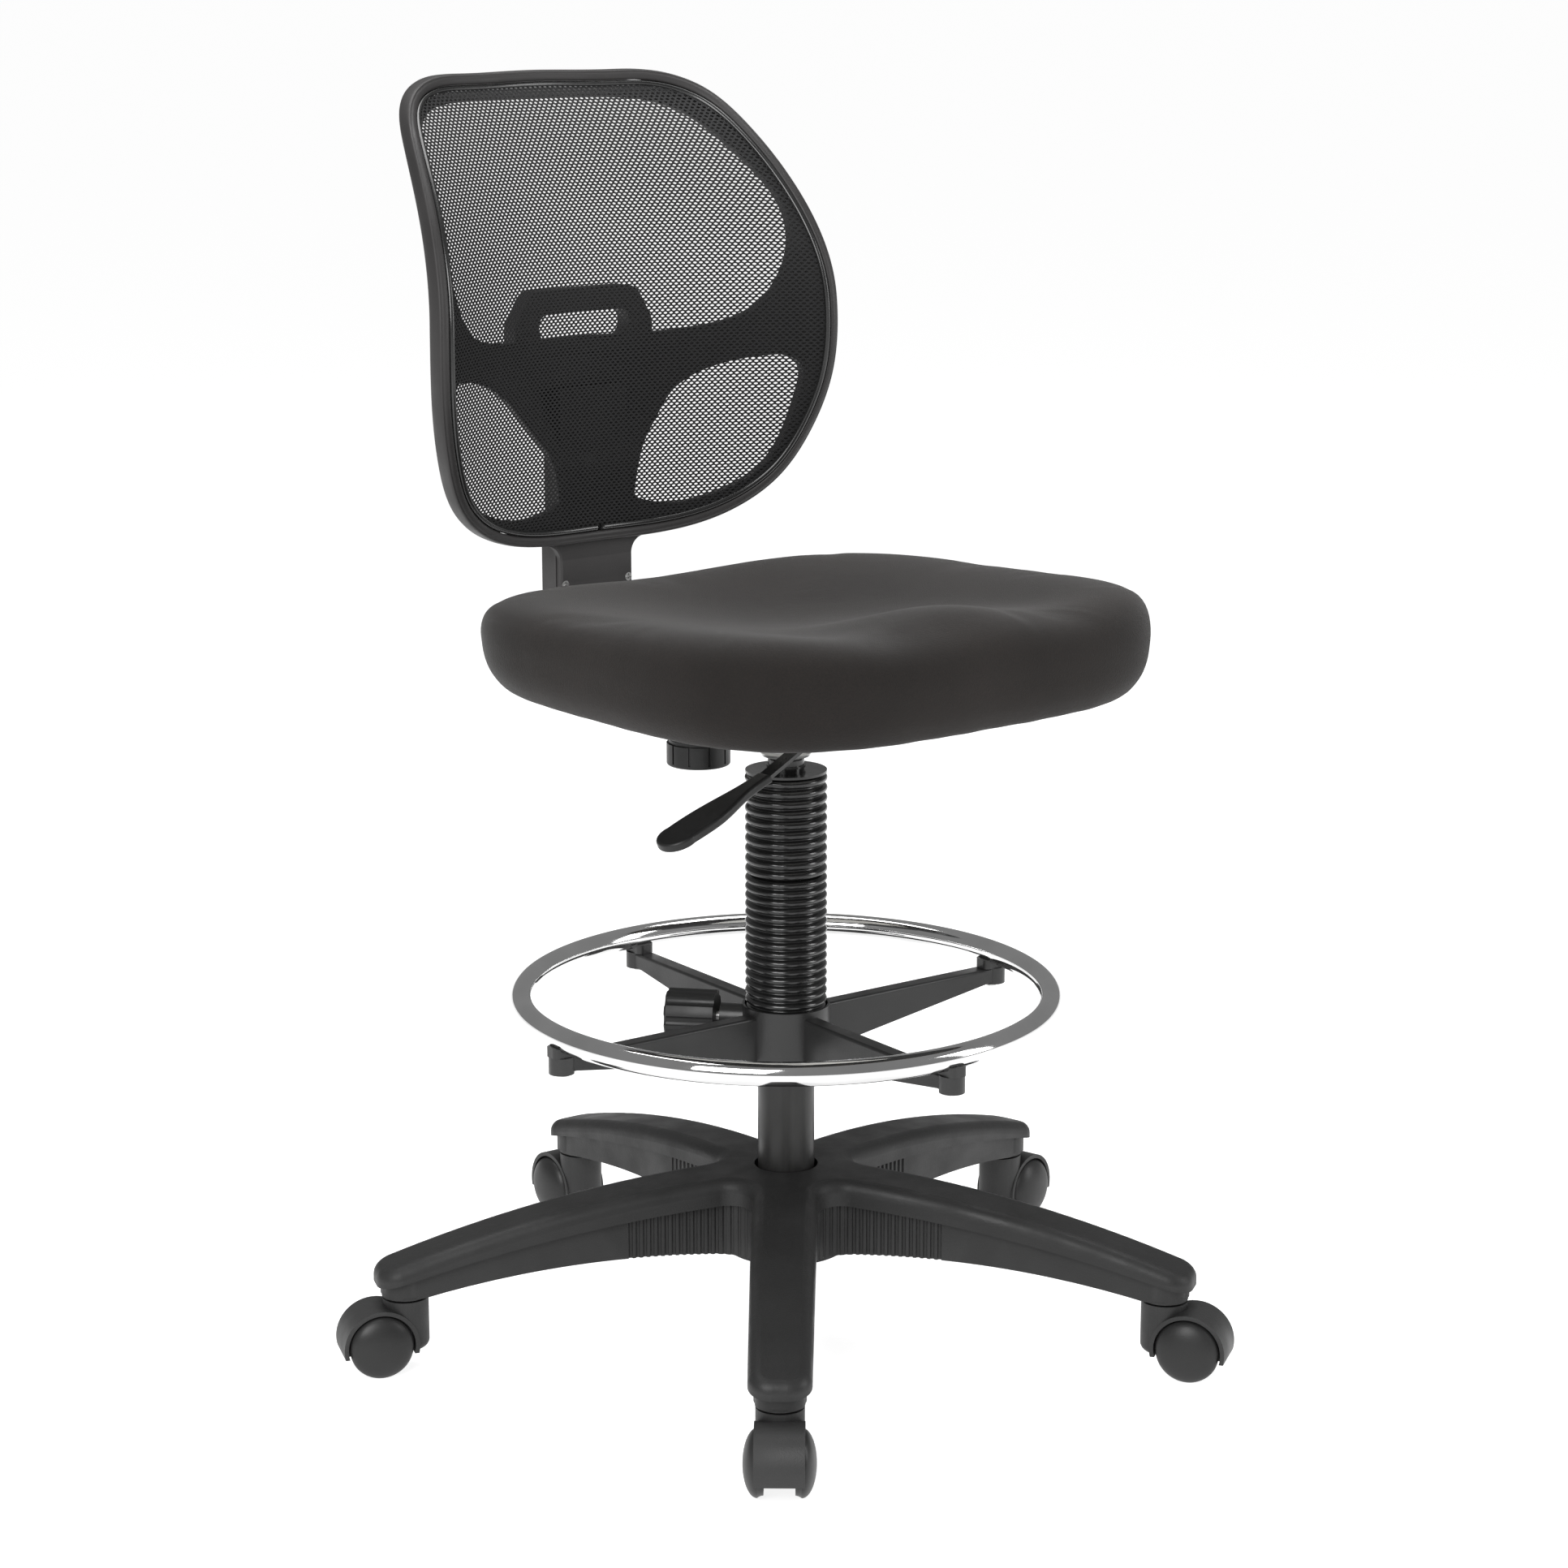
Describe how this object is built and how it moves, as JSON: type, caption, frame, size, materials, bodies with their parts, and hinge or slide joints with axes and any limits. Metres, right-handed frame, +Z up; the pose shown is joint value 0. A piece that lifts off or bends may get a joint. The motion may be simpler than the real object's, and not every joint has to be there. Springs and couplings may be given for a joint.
{
  "type": "drafting chair",
  "caption": "Armless drafting chair with a mesh back, padded seat, tall gas lift in a bellows, chrome foot ring and five-arm caster base.",
  "frame": {"origin": "the column's axis at floor level", "axes": "+Z up; the sitter faces -Y; +X is the sitter's left"},
  "size_m": [0.7775, 0.7554, 1.0935],
  "materials": {
    "nylon": "pebbled satin",
    "wheel_nylon": "satin",
    "tube_paint": "satin",
    "bush_plastic": "smooth",
    "bright_steel": "ground",
    "zinc_steel": "zinc plated",
    "bellows_plastic": "gloss",
    "ring_chrome": "mirror bright",
    "spider_plastic": "semi gloss",
    "knob_plastic": "satin",
    "pan_paint": "satin light grey",
    "lever_paint": "satin black",
    "cover_plastic": "fine grain",
    "board_wood": "raw plywood",
    "seat_fabric": "woven",
    "carrier_paint": "satin black",
    "frame_plastic": "fine grain",
    "bead_plastic": "gloss",
    "mesh_fabric": "open knitted mesh"
  },
  "bodies": {
    "base": {"base_star": "nylon", "caster_stems": "zinc_steel", "column_tube": "tube_paint", "column_bush": "bush_plastic", "thrust_bearing": "bright_steel", "bellows": "bellows_plastic"},
    "spindle": {"piston_rod": "bright_steel", "retaining_clip": "zinc_steel"},
    "seat": {"gas_cylinder": "tube_paint", "bellows_collar": "bellows_plastic", "mechanism_plate": "pan_paint", "column_socket": "zinc_steel", "mechanism_bolts": "zinc_steel", "depth_bush": "bright_steel", "lever_pin": "zinc_steel", "dust_cover": "cover_plastic", "seat_board": "board_wood", "t_nuts": "zinc_steel", "seat_cushion": "seat_fabric"},
    "button": {"release_button": "bright_steel"},
    "lever": {"lever_bar": "lever_paint", "lever_paddle": "knob_plastic"},
    "ring_bush": {"ring_bush": "bush_plastic"},
    "ring": {"foot_ring": "ring_chrome", "ring_spider": "spider_plastic", "ring_saddles": "spider_plastic", "ring_screws": "zinc_steel"},
    "ring_knob": {"ring_knob": "knob_plastic", "ring_stud": "zinc_steel"},
    "depth_knob": {"depth_knob": "knob_plastic", "depth_stud": "zinc_steel"},
    "carrier": {"j_bar": "carrier_paint"},
    "back": {"back_rim": "frame_plastic", "back_yoke": "frame_plastic", "back_bead": "bead_plastic", "back_mesh": "mesh_fabric", "upright_cover": "frame_plastic", "cover_screws": "zinc_steel", "height_pin": "zinc_steel", "height_spring": "bright_steel"},
    "caster_1": {"caster_1_hood": "nylon", "caster_1_axle": "bright_steel"},
    "wheel_1_left": {"caster_1_wheel_left": "wheel_nylon"},
    "wheel_1_right": {"caster_1_wheel_right": "wheel_nylon"},
    "caster_2": {"caster_2_hood": "nylon", "caster_2_axle": "bright_steel"},
    "wheel_2_left": {"caster_2_wheel_left": "wheel_nylon"},
    "wheel_2_right": {"caster_2_wheel_right": "wheel_nylon"},
    "caster_3": {"caster_3_hood": "nylon", "caster_3_axle": "bright_steel"},
    "wheel_3_left": {"caster_3_wheel_left": "wheel_nylon"},
    "wheel_3_right": {"caster_3_wheel_right": "wheel_nylon"},
    "caster_4": {"caster_4_hood": "nylon", "caster_4_axle": "bright_steel"},
    "wheel_4_left": {"caster_4_wheel_left": "wheel_nylon"},
    "wheel_4_right": {"caster_4_wheel_right": "wheel_nylon"},
    "caster_5": {"caster_5_hood": "nylon", "caster_5_axle": "bright_steel"},
    "wheel_5_left": {"caster_5_wheel_left": "wheel_nylon"},
    "wheel_5_right": {"caster_5_wheel_right": "wheel_nylon"}
  },
  "joints": [
    {"name": "swivel", "type": "hinge", "parent": "base", "child": "spindle", "pos_m": [0, 0, 0.08], "axis": [0, 0, 1], "continuous": true},
    {"name": "seat_lift", "type": "slide", "parent": "spindle", "child": "seat", "axis": [0, 0, 1], "range_m": [0, 0.24], "deforming": ["bellows"]},
    {"name": "lever_lift", "type": "hinge", "parent": "seat", "child": "lever", "pos_m": [-0.048, -0.1, 0.566], "axis": [0, 1, 0], "range_deg": [0, 5.5], "stiffness_Nm_per_rad": 2, "springref_deg": -5.73},
    {"name": "button_press", "type": "slide", "parent": "seat", "child": "button", "axis": [0, 0, -1], "range_m": [0, 0.0047]},
    {"name": "back_depth", "type": "slide", "parent": "seat", "child": "carrier", "axis": [0, 1, 0], "range_m": [-0.02, 0.025]},
    {"name": "back_height", "type": "slide", "parent": "carrier", "child": "back", "axis": [0, 0, 1], "range_m": [0, 0.06]},
    {"name": "depth_knob_turn", "type": "hinge", "parent": "seat", "child": "depth_knob", "pos_m": [0, 0.124, 0.5], "axis": [0, 0, 1], "range_deg": [0, 720]},
    {"name": "ring_slide", "type": "slide", "parent": "base", "child": "ring_bush", "axis": [0, 0, 1], "range_m": [-0.09, 0.06], "deforming": ["bellows"]},
    {"name": "ring_turn", "type": "hinge", "parent": "ring_bush", "child": "ring", "pos_m": [0, 0, 0.28], "axis": [0, 0, 1], "continuous": true},
    {"name": "ring_knob_turn", "type": "hinge", "parent": "ring", "child": "ring_knob", "pos_m": [0, 0, 0.285], "axis": [-0.6691, 0.7431, 0], "range_deg": [0, 720]},
    {"name": "caster_1_swivel", "type": "hinge", "parent": "base", "child": "caster_1", "pos_m": [-0.22084, -0.26506, 0.05], "axis": [0, 0, 1], "continuous": true},
    {"name": "wheel_1_left_spin", "type": "hinge", "parent": "caster_1", "child": "wheel_1_left", "pos_m": [-0.23684, -0.28426, 0.02775], "axis": [-0.7683, 0.6401, 0], "continuous": true},
    {"name": "wheel_1_right_spin", "type": "hinge", "parent": "caster_1", "child": "wheel_1_right", "pos_m": [-0.23684, -0.28426, 0.02775], "axis": [-0.7683, 0.6401, 0], "continuous": true},
    {"name": "caster_2_swivel", "type": "hinge", "parent": "base", "child": "caster_2", "pos_m": [0.18384, -0.29194, 0.05], "axis": [0, 0, 1], "continuous": true},
    {"name": "wheel_2_left_spin", "type": "hinge", "parent": "caster_2", "child": "wheel_2_left", "pos_m": [0.19716, -0.31309, 0.02775], "axis": [-0.8462, -0.5329, 0], "continuous": true},
    {"name": "wheel_2_right_spin", "type": "hinge", "parent": "caster_2", "child": "wheel_2_right", "pos_m": [0.19716, -0.31309, 0.02775], "axis": [-0.8462, -0.5329, 0], "continuous": true},
    {"name": "caster_3_swivel", "type": "hinge", "parent": "base", "child": "caster_3", "pos_m": [0.33446, 0.08463, 0.05], "axis": [0, 0, 1], "continuous": true},
    {"name": "wheel_3_left_spin", "type": "hinge", "parent": "caster_3", "child": "wheel_3_left", "pos_m": [0.35869, 0.09076, 0.02775], "axis": [0.2453, -0.9694, 0], "continuous": true},
    {"name": "wheel_3_right_spin", "type": "hinge", "parent": "caster_3", "child": "wheel_3_right", "pos_m": [0.35869, 0.09076, 0.02775], "axis": [0.2453, -0.9694, 0], "continuous": true},
    {"name": "caster_4_swivel", "type": "hinge", "parent": "base", "child": "caster_4", "pos_m": [0.02286, 0.34424, 0.05], "axis": [0, 0, 1], "continuous": true},
    {"name": "wheel_4_left_spin", "type": "hinge", "parent": "caster_4", "child": "wheel_4_left", "pos_m": [0.02452, 0.36919, 0.02775], "axis": [0.9978, -0.0663, 0], "continuous": true},
    {"name": "wheel_4_right_spin", "type": "hinge", "parent": "caster_4", "child": "wheel_4_right", "pos_m": [0.02452, 0.36919, 0.02775], "axis": [0.9978, -0.0663, 0], "continuous": true},
    {"name": "caster_5_swivel", "type": "hinge", "parent": "base", "child": "caster_5", "pos_m": [-0.32033, 0.12812, 0.05], "axis": [0, 0, 1], "continuous": true},
    {"name": "wheel_5_left_spin", "type": "hinge", "parent": "caster_5", "child": "wheel_5_left", "pos_m": [-0.34354, 0.13741, 0.02775], "axis": [0.3714, 0.9285, 0], "continuous": true},
    {"name": "wheel_5_right_spin", "type": "hinge", "parent": "caster_5", "child": "wheel_5_right", "pos_m": [-0.34354, 0.13741, 0.02775], "axis": [0.3714, 0.9285, 0], "continuous": true}
  ],
  "couplings": [
    {"joint": "button_press", "follows": "lever_lift", "m_per_rad": 0.048}
  ]
}
